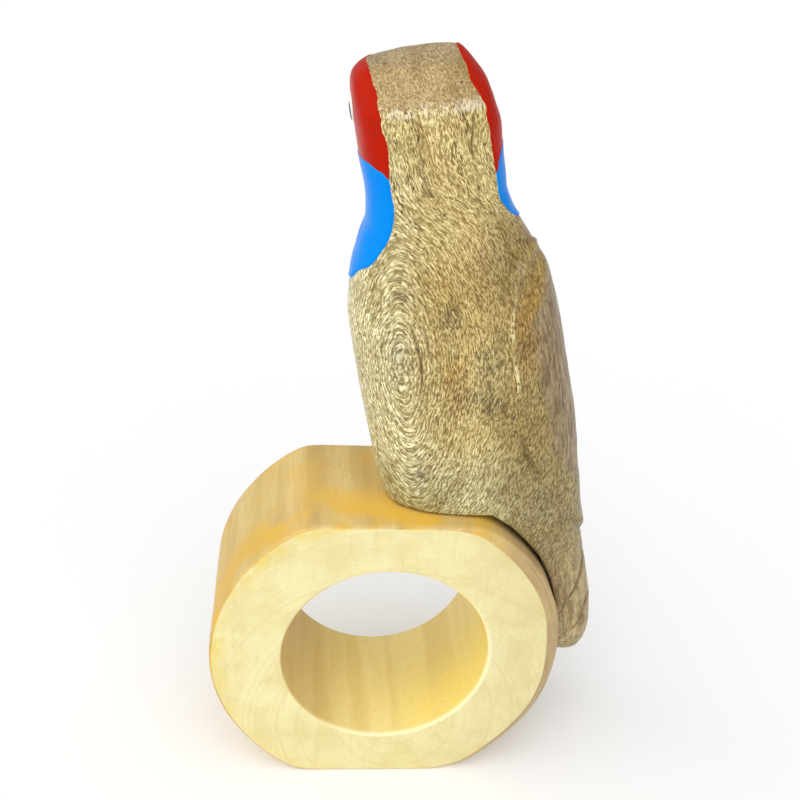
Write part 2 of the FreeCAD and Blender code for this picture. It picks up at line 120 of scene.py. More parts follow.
# The line where the wing stands proud of the flank, from the shoulder down its leading
# edge to the tip over the tail: across, up. The shoulder slopes down towards the far side.
SHOULDER_SLOPE = 0.45
WING_EDGE = [
    (38.6, 101.4), (37.2, 101.0), (35.6, 99.8), (34.2, 97.9), (32.9, 95.6), (31.6, 93.6),
    (30.8, 92.0), (30.4, 90.2), (30.4, 87.0), (30.6, 83.5), (30.9, 79.0), (31.3, 74.5),
    (32.0, 69.5), (32.7, 65.5), (33.8, 62.3), (35.4, 58.9), (37.4, 55.3), (39.4, 51.8),
    (41.4, 48.0), (43.0, 44.6), (44.6, 41.2),
]


# Cuts that part the tail feathers, on both sides: across, up.
FEATHER_LINES = [
    [(40.3, 30.8), (41.4, 32.5), (42.4, 34.7), (43.1, 36.5), (43.7, 38.6)],
    [(40.1, 22.4), (41.5, 23.4), (42.6, 25.2), (43.4, 27.6), (44.3, 29.0)],
]

# How deep the cut under the wing's edge is, from the tip up.
WING_CUT = [(42, 0.2), (45, 0.7), (50, 0.35), (56, 0.2), (60, 0.45), (62.5, 1.0), (65.5, 1.0),
            (68, 0.45), (72, 0.0), (120, 0.0)]

# The wood's figure: nested spindles of growth lines on the left flank, about this middle.
FIGURE_PLACE = (12.6, -10.5, 84.5)
LINE_SPACING, HEAVY_SPACING = 0.54, 1.45
STAIN_ALONG = -10.0
FIGURE_STRETCH = 2.2
FIGURE_HEART = 3.6
FIGURE_POWER = 1.35

# Stains in the wood, and a painted highlight on the shoulder (the last row): across, up, reach, tone,
# strength.
STAINS_AND_HIGHLIGHT = [
    (20.5, 97.7, 4.5, (0.62, 0.41, 0.09), 0.45),
    (24.5, 89.0, 7.0, (0.68, 0.48, 0.15), 0.35),
    (33.1, 91.0, 3.2, (0.50, 0.30, 0.045), 0.75),
    (34.3, 84.4, 2.4, (0.20, 0.11, 0.03), 0.9),
    (21.3, 77.6, 3.0, (0.34, 0.19, 0.035), 0.90),
    (21.0, 82.8, 2.4, (0.56, 0.32, 0.04), 0.85),
    (38.0, 37.5, 3.0, (0.36, 0.225, 0.07), 0.55),
    (12.1, 88.0, 2.6, (0.33, 0.32, 0.23), 0.60),
    (12.6, 82.2, 2.4, (0.30, 0.29, 0.21), 0.60),
    (13.0, 97.1, 2.0, (0.22, 0.20, 0.11), 0.75),
    (21.5, 91.6, 2.4, (0.19, 0.16, 0.07), 0.75),
    (20.9, 86.4, 1.9, (0.21, 0.18, 0.07), 0.60),
    (26.5, 83.8, 2.7, (0.21, 0.18, 0.08), 0.72),
    (26.1, 76.2, 3.7, (0.17, 0.15, 0.07), 0.78),
    (14.0, 64.0, 2.6, (0.19, 0.18, 0.14), 0.85),
    (36.4, 78.5, 2.6, (0.22, 0.17, 0.10), 0.70),
    (35.0, 53.0, 3.4, (0.26, 0.22, 0.13), 0.45),
    (37.0, 42.0, 2.2, (0.22, 0.19, 0.12), 0.50),
    (28.5, 102.0, 5.0, (0.40, 0.28, 0.15), 0.50),
    # Not a stain: a painted highlight, the pale gleam on the shoulder.
    (33.2, 98.6, 1.5, (0.92, 0.86, 0.72), 0.55),
]

# Short dark cracks: start and end (across, up), half-width, strength.
CRACKS = [
    ((15.0, 91.4), (16.1, 80.2), 0.16, 0.75),
    ((16.8, 91.2), (17.3, 85.2), 0.14, 0.60),
    ((27.1, 124.2), (26.5, 117.4), 0.20, 0.70),
    ((26.5, 117.6), (27.2, 108.5), 0.18, 0.45),
    ((18.6, 123.4), (18.9, 112.0), 0.24, 0.45),
    ((22.0, 121.0), (22.6, 114.0), 0.16, 0.35),
    ((7.2, 77.0), (7.6, 61.5), 0.14, 0.35),
]


def to_part(points):
    """From the bird's leaning frame to the part's frame."""
    points = np.asarray(points, float)
    across, along, up = points[..., 0], points[..., 1], points[..., 2]
    return np.stack([across * math.cos(LEAN) - up * math.sin(LEAN), along,
                     across * math.sin(LEAN) + up * math.cos(LEAN)], -1)


def to_bird(points):
    """From the part's frame to the bird's leaning frame."""
    points = np.asarray(points, float)
    x, y, z = points[..., 0], points[..., 1], points[..., 2]
    return np.stack([x * math.cos(LEAN) + z * math.sin(LEAN), y,
                     -x * math.sin(LEAN) + z * math.cos(LEAN)], -1)


def smooth_step(low, high, value):
    t = np.clip((value - low) / (high - low), 0.0, 1.0)
    return t * t * (3.0 - 2.0 * t)


def hermite(knots, values, at):
    """A smooth curve through the values that doesn't overshoot between its knots."""
    knots, values, at = np.asarray(knots, float), np.asarray(values, float), np.asarray(at, float)
    widths = np.diff(knots)
    slopes = np.diff(values) / widths
    tangents = np.zeros(len(knots))
    same_way = slopes[:-1] * slopes[1:] > 0
    mean = 2.0 * slopes[:-1] * slopes[1:] / np.where(same_way, slopes[:-1] + slopes[1:], 1.0)
    tangents[1:-1] = np.where(same_way, mean, 0.0)
    tangents[0], tangents[-1] = slopes[0], slopes[-1]
    index = np.clip(np.searchsorted(knots, at) - 1, 0, len(knots) - 2)
    width = widths[index]
    t = np.clip((at - knots[index]) / width, 0.0, 1.0)
    return (values[index] * (1 + 2 * t) * (1 - t) ** 2 + values[index + 1] * t * t * (3 - 2 * t)
            + tangents[index] * width * t * (1 - t) ** 2 - tangents[index + 1] * width * t * t * (1 - t))


def spline(points, per_span=8, closed=False):
    """Points along a Catmull-Rom curve through the given ones."""
    points = np.asarray(points, float)
    count = len(points)
    if closed:
        padded = np.vstack([points[-1], points, points[0], points[1]])
        spans = count
    else:
        padded = np.vstack([2 * points[0] - points[1], points, 2 * points[-1] - points[-2]])
        spans = count - 1
    steps = np.arange(per_span)[:, None] / per_span
    out = []
    for i in range(spans):
        a, b, c, d = padded[i:i + 4]
        out.append(0.5 * (2 * b + (c - a) * steps + (2 * a - 5 * b + 4 * c - d) * steps ** 2
                          + (3 * b - a - 3 * c + d) * steps ** 3))
    curve = np.vstack(out)
    return curve if closed else np.vstack([curve, points[-1]])


def line_distance(points, line, closed=False):
    """Signed distance from points to a polyline in a plane: positive on its left."""
    starts = line if closed else line[:-1]
    ends = np.roll(line, -1, 0) if closed else line[1:]
    best = np.full(len(points), 1e9)
    sign = np.ones(len(points))
    for start, end in zip(starts, ends):
        run = end - start
        away = points - start
        t = np.clip((away @ run) / max(run @ run, 1e-12), 0.0, 1.0)
        gap = away - t[:, None] * run
        size = np.hypot(gap[:, 0], gap[:, 1])
        side = np.sign(run[0] * away[:, 1] - run[1] * away[:, 0])
        closer = size < best - 1e-9
        best = np.where(closer, size, best)
        sign = np.where(closer, side, sign)
    return best * sign


def ripple(points, size, seed):
    """A smooth irregular field between about -1 and 1, with features of the given size."""
    rng = np.random.default_rng(seed)
    total = np.zeros(len(points))
    waves = 7
    for _ in range(waves):
        direction = rng.normal(size=3)
        direction /= np.linalg.norm(direction)
        length = size * rng.uniform(0.7, 1.6)
        total += np.sin(points @ direction * 2 * math.pi / length + rng.uniform(0, 6.28))
    return total / math.sqrt(waves * 0.5) * 0.6


# ---------------------------------------------------------------- mesh helpers
def make_object(name, points, faces):
    mesh = bpy.data.meshes.new(name)
    mesh.from_pydata((np.asarray(points) * MM).tolist(), [], faces)
    mesh.validate()
    mesh.update()
    mesh.polygons.foreach_set("use_smooth", [True] * len(mesh.polygons))
    item = bpy.data.objects.new(name, mesh)
    bpy.context.scene.collection.objects.link(item)
    return item


def mesh_points(item):
    flat = np.zeros(len(item.data.vertices) * 3)
    item.data.vertices.foreach_get("co", flat)
    return flat.reshape(-1, 3) / MM


def mesh_normals(item):
    flat = np.zeros(len(item.data.vertices) * 3)
    item.data.vertices.foreach_get("normal", flat)
    return flat.reshape(-1, 3)


def set_points(item, points):
    item.data.vertices.foreach_set("co", (points * MM).ravel())
    item.data.update()


def mesh_edges(item):
    flat = np.zeros(len(item.data.edges) * 2, np.int64)
    item.data.edges.foreach_get("vertices", flat)
    return flat.reshape(-1, 2)


def apply_modifiers(item):
    graph = bpy.context.evaluated_depsgraph_get()
    mesh = bpy.data.meshes.new_from_object(item.evaluated_get(graph))
    item.modifiers.clear()
    old = item.data
    item.data = mesh
    bpy.data.meshes.remove(old)


def relax(item, rounds, amount=0.5):
    """Even out a mesh by moving each point towards the middle of its neighbours."""
    points, edges = mesh_points(item), mesh_edges(item)
    count = np.bincount(edges.ravel(), minlength=len(points))[:, None]
    for _ in range(rounds):
        total = np.zeros_like(points)
        np.add.at(total, edges[:, 0], points[edges[:, 1]])
        np.add.at(total, edges[:, 1], points[edges[:, 0]])
        points = points + amount * (total / np.maximum(count, 1) - points)
    set_points(item, points)


def ring_faces(rows, columns, closed_rows=False):
    """Quads over a grid of points whose columns close on themselves."""
    faces = []
    last = rows if closed_rows else rows - 1
    for row in range(last):
        above = (row + 1) % rows
        for column in range(columns):
            right = (column + 1) % columns
            faces.append((row * columns + column, row * columns + right,
                          above * columns + right, above * columns + column))
    return faces


def capped_tube(name, rows):
    """A closed body from a stack of equal loops of points."""
    columns = len(rows[0])
    faces = ring_faces(len(rows), columns)
    faces.append(tuple(range(columns - 1, -1, -1)))
    top = (len(rows) - 1) * columns
    faces.append(tuple(range(top, top + columns)))
    return make_object(name, np.vstack(rows), faces)


# ---------------------------------------------------------------- the carving
def bird_section(level, columns=220):
    """One closed section of the carving in its own frame."""
    table = np.array(SECTIONS)
    left, right, near, far, near_square, far_square = (
        float(hermite(table[:, 0], table[:, i], level)) for i in range(1, 7))
    middle_x, middle_y = (left + right) / 2, (near * 0.52 + far * 0.48)
    angle = np.linspace(0, 2 * math.pi, columns, endpoint=False)
    c, s = np.cos(angle), np.sin(angle)
    square = np.where(s < 0, near_square, far_square)
    depth = np.where(s < 0, middle_y - near, far - middle_y)
    across = middle_x + (right - left) / 2 * np.sign(c) * np.abs(c) ** (2 / square)
    along = middle_y + depth * np.sign(s) * np.abs(s) ** (2 / square)
    return np.stack([across, along, np.full(columns, level)], -1)


def bent_tube(name, spine, sizes, columns=48):
    """A tapered body along a curve in the bird's middle plane: (along, up) and sizes."""
    spine, sizes = spline(spine), spline(sizes)
    rows = []
    angle = np.linspace(0, 2 * math.pi, columns, endpoint=False)
    for index, (along, up) in enumerate(spine):
        before = spine[max(index - 1, 0)]
        after = spine[min(index + 1, len(spine) - 1)]
        run = (after - before) / np.linalg.norm(after - before)
        wide, tall = np.maximum(sizes[index], 0.15)
        across = HEAD_MIDDLE + wide * np.cos(angle)
        rise = tall * np.sin(angle)
        rows.append(to_part(np.stack([across, along - run[1] * rise, up + run[0] * rise], -1)))
    return capped_tube(name, rows)


def notch_cutter():
    """The ring's outline grown off-centre, so that the notch closes on the ring's side."""
    radius = RING_RADIUS + NOTCH_GAP
    middle = BORE_UP + NOTCH_LIFT
    seat = RING_HEIGHT + SEAT_GAP
    start = math.asin((seat - middle) / radius)
    turn = np.linspace(start, -math.pi / 2, 90)
    arc = np.stack([radius * np.cos(turn), middle + radius * np.sin(turn)], -1)
    outline = np.vstack([arc, [[-60.0, middle - radius], [-60.0, seat]]])
    rows = []
    for along in (-40.0, 40.0):
        rows.append(np.stack([outline[:, 0], np.full(len(outline), along), outline[:, 1]], -1))
    return capped_tube("notch_cutter", rows)


def carve_bird():
    levels = np.arange(SECTIONS[0][0], SECTIONS[-1][0], 0.4)
    levels = np.append(levels, SECTIONS[-1][0])
    bird = capped_tube("bird_carving", [to_part(bird_section(level)) for level in levels])
    cutter = notch_cutter()
    for item in (bird, cutter):
        fix_normals(item)
    cut = bird.modifiers.new("notch", "BOOLEAN")
    cut.operation = "DIFFERENCE"
    cut.object = cutter
    cut.solver = "EXACT"
    apply_modifiers(bird)
    bpy.data.objects.remove(cutter)
    upper = bent_tube("beak_upper", [(8.0, 121.5), (12.5, 121.2), (15.6, 120.0),
                                    (17.8, 117.8), (18.6, 114.6)],
                      [(5.4, 5.8), (5.0, 5.3), (4.0, 4.3), (2.6, 2.9), (0.5, 0.8)])
    lower = bent_tube("beak_lower", [(8.0, 115.8), (12.0, 115.4), (14.8, 115.3), (16.6, 115.8)],
                      [(4.0, 2.6), (3.6, 2.3), (2.6, 1.7), (0.9, 0.6)])
    join_into(bird, [upper, lower])
    remesh = bird.modifiers.new("remesh", "REMESH")
    remesh.mode = "VOXEL"
    remesh.voxel_size = VOXEL * MM
    apply_modifiers(bird)
    relax(bird, 5)
    return bird


def fix_normals(item):
    work = bmesh.new()
    work.from_mesh(item.data)
    bmesh.ops.recalc_face_normals(work, faces=work.faces)
    work.to_mesh(item.data)
    work.free()


def join_into(target, others):
    work = bmesh.new()
    work.from_mesh(target.data)
    for other in others:
        fix_normals(other)
        work.from_mesh(other.data)
        bpy.data.objects.remove(other)
    work.to_mesh(target.data)
    work.free()


def shoulder_level(points):
    """Height up the bird's axis, measured along the shoulder's slope near the shoulder."""
    up = points[:, 2]
    return up + SHOULDER_SLOPE * points[:, 1] * smooth_step(90.0, 100.0, up)


def wing_depth(points):
    """How far each point lies inside the wing's edge, seen along Y, in the bird's frame."""
    edge = spline(WING_EDGE)
    beyond = 60.0
    edge = np.vstack([[beyond, edge[0][1]], edge, [beyond, edge[-1][1]]])
    return line_distance(np.stack([points[:, 0], shoulder_level(points)], -1), edge)


def groove_depth(points, line, depth, width):
    """How deep a V-shaped cut is at each point; the line is given as across and up."""
    gap = np.abs(line_distance(points[:, [0, 2]], spline(line)))
    return depth * np.clip(1 - gap / width, 0.0, 1.0)


def detail_bird(bird):
    """Wing panels, carved lines and the unevenness of hand work."""
    points, normals = mesh_points(bird), mesh_normals(bird)
    own = to_bird(points)
    up = own[:, 2]
    inside = wing_depth(own)
    below_shoulder = smooth_step(103.2, 95.8, shoulder_level(own))
    lower = 1.0 - 0.4 * smooth_step(66.0, 58.0, up) * smooth_step(44.0, 50.0, up)
    rise = WING_RISE * lower * smooth_step(-0.4, 0.5, inside) * below_shoulder
    bead_length = below_shoulder * smooth_step(66.0, 74.0, up)
    bead = 0.50 * np.exp(-((inside - 0.55) / 0.36) ** 2) * bead_length
    hollow = 0.32 * np.exp(-((inside - 2.3) / 1.1) ** 2) * bead_length
    cut_table = np.array(WING_CUT)
    cut = hermite(cut_table[:, 0], cut_table[:, 1], up) * np.exp(-((inside + 0.2) / 0.30) ** 2)
    feathers = np.zeros(len(points))
    for line in FEATHER_LINES:
        feathers = np.maximum(feathers, groove_depth(own, line, 0.55, 0.42))
    shift = rise + bead - hollow - 0.45 * cut - feathers
    shift += 0.10 * ripple(points, 14.0, 3) + 0.05 * ripple(points, 5.0, 4)
    set_points(bird, points + normals * shift[:, None])
    relax(bird, 1)
    # The crease mark also sets where painted shade darkens the wood's colour.
    crease = np.clip(cut + feathers / 0.4, 0.0, 1.0)
    mark_points(bird, "wing", np.clip(inside, -20.0, 20.0) * np.where(up < 105.5, 1.0, 0.0))
    mark_points(bird, "crease", crease)


def mark_points(item, name, values):
    """Give each point of a mesh a number that its material reads by name."""
    marks = item.data.attributes.new(name, "FLOAT", "POINT")
    marks.data.foreach_set("value", np.asarray(values, np.float32))


def build_camera():
    camera = bpy.data.objects.new("camera", bpy.data.cameras.new("camera"))
    bpy.context.scene.collection.objects.link(camera)
    yaw, pitch, roll = math.radians(6.695), math.radians(27.5), math.radians(4.548)
    forward = Vector((math.sin(yaw) * math.cos(pitch), math.cos(yaw) * math.cos(pitch), -math.sin(pitch)))
    level = Vector((math.cos(yaw), -math.sin(yaw), 0.0))
    upright = level.cross(forward)
    right = math.cos(roll) * level + math.sin(roll) * upright
    up = math.cos(roll) * upright - math.sin(roll) * level
    turn = Matrix((right, up, -forward)).transposed().to_4x4()
    camera.matrix_world = Matrix.Translation(Vector((-19.8, -173.8, 165.1)) * MM) @ turn
    camera.data.sensor_width = 36.0
    camera.data.lens = 50.38
    camera.data.clip_start = 0.01
    bpy.context.scene.camera = camera


# ---------------------------------------------------------------- the ring
def fillet(corner, before, after, reach, steps=6):
    """Points that round one corner of a profile, for every angle at once."""
    toward = before - corner
    onward = after - corner
    start = corner + toward * (reach / np.linalg.norm(toward, axis=-1))[:, None]
    end = corner + onward * (reach / np.linalg.norm(onward, axis=-1))[:, None]
    out = []
    for t in np.linspace(0, 1, steps):
        out.append(start * (1 - t) ** 2 + corner * 2 * t * (1 - t) + end * t * t)
    return out


def around(table, angle):
    """A value that varies smoothly round the ring, from a table by degrees."""
    table = np.array(table, float)
    return hermite(table[:, 0], table[:, 1], np.degrees(angle))


def ring_outline(angle):
    """Distance from the bore's axis to the ring's outline: round, cut by two flats."""
    rise = np.sin(angle)
    flat = np.where(rise > 0, RING_HEIGHT - BORE_UP, BORE_UP) / np.maximum(np.abs(rise), 1e-3)
    radius = RING_RADIUS + around(RIM_FULLNESS, angle)
    sharpness = 65.0
    return (radius ** -sharpness + flat ** -sharpness) ** (-1 / sharpness)


def build_ring(columns=600):
    angle = np.linspace(-math.pi, math.pi, columns, endpoint=False)
    ones = np.ones(columns)
    outline = ring_outline(angle)
    wobble = 0.10 * np.sin(3 * angle + 1.0) + 0.07 * np.sin(7 * angle + 0.4)
    bevel = around(RIM_BEVEL, angle) * (1 + wobble)
    near, far = -RING_HALF_DEPTH, RING_HALF_DEPTH
    corners = [
        np.stack([BORE_RADIUS * ones, near * ones], -1),
        np.stack([outline - bevel, near * ones], -1),
        np.stack([outline, near + bevel * 0.85], -1),
        np.stack([outline, far * ones], -1),
        np.stack([BORE_RADIUS * ones, far * ones], -1),
    ]
    reaches = [0.55, 0.30, 0.45, 0.9, 0.6]
    spans = [14, 3, 16, 14, 16]
    profile = []
    for i, corner in enumerate(corners):
        before, after = corners[i - 1], corners[(i + 1) % 5]
        reach = np.minimum(reaches[i], 0.45 * np.minimum(
            np.linalg.norm(before - corner, axis=-1), np.linalg.norm(after - corner, axis=-1)))
        profile.append(fillet(corner, before, after, reach))
    rows = []
    for i, rounded in enumerate(profile):
        rows += rounded
        start, end = rounded[-1], profile[(i + 1) % 5][0]
        for t in np.linspace(0, 1, spans[i] + 1)[1:-1]:
            rows.append(start * (1 - t) + end * t)
    points = []
    for row in rows:
        radius, along = row[:, 0], row[:, 1]
        points.append(np.stack([radius * np.cos(angle), along, BORE_UP + radius * np.sin(angle)], -1))
    points = np.vstack(points)
    radial = np.hypot(points[:, 0], points[:, 2] - BORE_UP)
    worn = smooth_step(BORE_RADIUS + 6, BORE_RADIUS + 11, radial) * smooth_step(0.6, 2.5, points[:, 2])
    inside = smooth_step(RING_HALF_DEPTH + 0.1, RING_HALF_DEPTH - 1, np.abs(points[:, 1]))
    uneven = 0.07 * ripple(points, 16.0, 11) * worn * inside
    out = np.stack([points[:, 0], 0 * radial, points[:, 2] - BORE_UP], -1) / radial[:, None]
    points = points + out * uneven[:, None]
    points[:, 2] = np.maximum(points[:, 2], 0.0)
    ring = make_object("ring_turned", points, ring_faces(len(rows), columns, closed_rows=True))
    fix_normals(ring)
    return ring


# ---------------------------------------------------------------- glue
def build_glue(columns=160):
    """The thin bed of glue on the ring's flat, smaller than the bird's foot."""
    angle = np.linspace(0, 2 * math.pi, columns, endpoint=False)
    c, s = np.cos(angle), np.sin(angle)
    left, right, near, far = GLUE_EDGES
    across = (left + right) / 2 + (right - left) / 2 * np.sign(c) * np.abs(c) ** 0.6
    along = (near + far) / 2 + (far - near) / 2 * np.sign(s) * np.abs(s) ** 0.6
    rows = []
    for height, inset in ((-0.05, 0.3), (0.08, 0.0), (0.16, 0.0), (SEAT_GAP + 0.1, 0.25)):
        shrink = 1 - inset / 10
        ring = np.stack([across * shrink, along * shrink, np.full(columns, RING_HEIGHT + height)], -1)
        ring[:, :2] += 0.25 * np.stack([c, s], -1) * ripple(ring * (1, 1, 0), 4.0, 31)[:, None]
        rows.append(ring)
    return capped_tube("glue_squeeze", rows)


# ---------------------------------------------------------------- paint
def film(name, base, field, thickness, edge=0.45, sink=0.10):
    """A closed skin of paint over the part of a mesh where the field is positive."""
    points, normals = mesh_points(base), mesh_normals(base)
    own = to_bird(points)
    depth = field(own)
    wet = smooth_step(-0.1, edge, depth)
    lip = 0.35 * thickness * np.exp(-((depth - edge) / 0.25) ** 2)
    height = wet * (thickness + sink) - sink + lip * wet
    polygons = [tuple(p.vertices) for p in base.data.polygons]
    kept = [p for p in polygons if max(depth[list(p)]) > -0.35]
    used = np.unique(np.concatenate([np.array(p) for p in kept]))
    number = {int(old): new for new, old in enumerate(used)}
    top = points[used] + normals[used] * height[used, None]
    bottom = points[used] - normals[used] * (sink + PAINT)
    count = len(used)
    faces = []
    borders = {}
    for polygon in kept:
        loop = [number[int(v)] for v in polygon]
        faces.append(tuple(loop))
        faces.append(tuple(v + count for v in reversed(loop)))
        for start, end in zip(loop, loop[1:] + loop[:1]):
            if (end, start) in borders:
                del borders[(end, start)]
            else:
                borders[(start, end)] = True
    for start, end in borders:
        faces.append((end, start, start + count, end + count))
    return make_object(name, np.vstack([top, bottom]), faces)


def cheek_side(own):
    """How far each point lies outside the bare strip that runs over the crown."""
    up, along = own[:, 2], own[:, 1]
    left_edge = hermite([110, 116.2, 119.3, 122.0, 124.7, 126.3, 127.7, 128.9, 130.6, 131.5],
                        [13.6, 13.7, 14.0, 13.5, 13.2, 13.0, 13.2, 12.9, 12.5, 12.3], up)
    right_edge = hermite([110, 114.2, 118.1, 120.8, 123.2, 125.9, 127.3, 128.9, 131.1, 132.3],
                         [30.2, 29.9, 29.4, 29.2, 29.0, 28.3, 27.4, 27.0, 26.4, 26.1], up)
    forward = smooth_step(4.0, 13.0, along)
    wander = 0.12 * ripple(own, 3.0, 21) + 0.06 * ripple(own, 1.1, 22)
    left = left_edge + 3.0 * forward - own[:, 0] + wander
    right = own[:, 0] - right_edge + 4.8 * forward + wander
    return left, right


BEAK_ROOT, BEAK_HALF_WIDTH = 12.9, 6.4
PAINT, THICK_PAINT = 0.12, 0.17
EYE_RADIUS, PUPIL_RADIUS = 2.6, 1.5


def black_beak(own):
    side = np.abs(own[:, 0] - HEAD_MIDDLE)
    return np.minimum(own[:, 1] - BEAK_ROOT + 0.1 * ripple(own, 3.0, 24), BEAK_HALF_WIDTH - side)


def red_left(own):
    left, _ = cheek_side(own)
    return np.minimum(np.minimum(left, own[:, 2] - 114.6), 0.15 - black_beak(own))


def red_right(own):
    _, right = cheek_side(own)
    return np.minimum(np.minimum(right, own[:, 2] - 114.0), 0.15 - black_beak(own))


# The throat's outline as seen around the neck: degrees from the nape by way of the
# left side, and height along the bird's axis.
THROAT = [
    (38.5, 114.6), (41, 116.0), (47.5, 117.0), (58, 117.7), (87, 117.5), (112, 117.2), (142, 116.2),
    (180, 114.2), (225, 116.2), (262, 118.2), (285, 118.4), (298, 117.5), (304, 116.5), (308.5, 115.2),
    (310.6, 113.2), (309.5, 110.4), (305.8, 108.7), (299, 106.8), (284, 105.0), (264, 103.6),
    (242, 100.6), (216, 97.0), (190, 94.8), (145, 94.6), (112, 95.6), (92, 96.4), (79, 97.6),
    (66, 99.8), (55, 101.5), (48.5, 103.3),
    (43.8, 105.2), (40.1, 107.6), (37.8, 111.0),
]
NECK_RADIUS = 11.0
NECK_MIDDLE = (21.0, 1.2)


def around_neck(own):
    """Unroll the neck: distance round from the nape by way of the left side, and height."""
    turn = np.degrees(np.arctan2(-(own[:, 0] - NECK_MIDDLE[0]), -(own[:, 1] - NECK_MIDDLE[1]))) % 360
    return np.stack([np.radians(turn) * NECK_RADIUS, own[:, 2]], -1)


def blue_throat(own):
    outline = spline(THROAT, closed=True)
    outline = np.stack([np.radians(outline[:, 0]) * NECK_RADIUS, outline[:, 1]], -1)
    chart = around_neck(own)
    depth = -line_distance(chart, outline, closed=True)
    on_beak = (own[:, 1] > 12.6) & (own[:, 2] > 112.5) & (np.abs(own[:, 0] - HEAD_MIDDLE) < 5.5)
    return np.where(on_beak, -1.0, depth + 0.10 * ripple(own, 3.0, 23))


def eye_disc(name, tree, side, radius, thickness, lift, middle, steps=14, spokes=56):
    """A dab of paint on the cheek: a low dome that follows the surface under it."""
    rows = []
    ray = Vector(to_part([(-side, 0, 0)])[0] - to_part([(0, 0, 0)])[0])
    for step in range(steps + 1):
        reach = radius * step / steps
        crown = math.sqrt(max(1 - (step / steps) ** 4, 0))
        row = []
        for spoke in range(spokes):
            turn = 2 * math.pi * spoke / spokes
            along = middle[0] + reach * math.cos(turn)
            up = middle[1] + reach * math.sin(turn)
            start = Vector(to_part([(HEAD_MIDDLE + side * 30, along, up)])[0])
            spot, normal, _, _ = tree.ray_cast(start, ray)
            height = lift + thickness * crown if step < steps else -0.15
            row.append(np.array(spot) + np.array(normal) * height)
            if step == 0:
                break
        rows.append(row)
    points = [rows[0][0]] + [p for row in rows[1:] for p in row]
    base = rows[-1]
    points.append(np.mean(base, 0) + np.array(ray) * 0.4)
    faces = []
    for spoke in range(spokes):
        following = (spoke + 1) % spokes
        faces.append((0, 1 + spoke, 1 + following))
        for row in range(steps - 1):
            low = 1 + row * spokes
            faces.append((low + spoke, low + spokes + spoke, low + spokes + following, low + following))
        last = 1 + (steps - 1) * spokes
        faces.append((last + spoke, len(points) - 1, last + following))
    disc = make_object(name, points, faces)
    fix_normals(disc)
    return disc


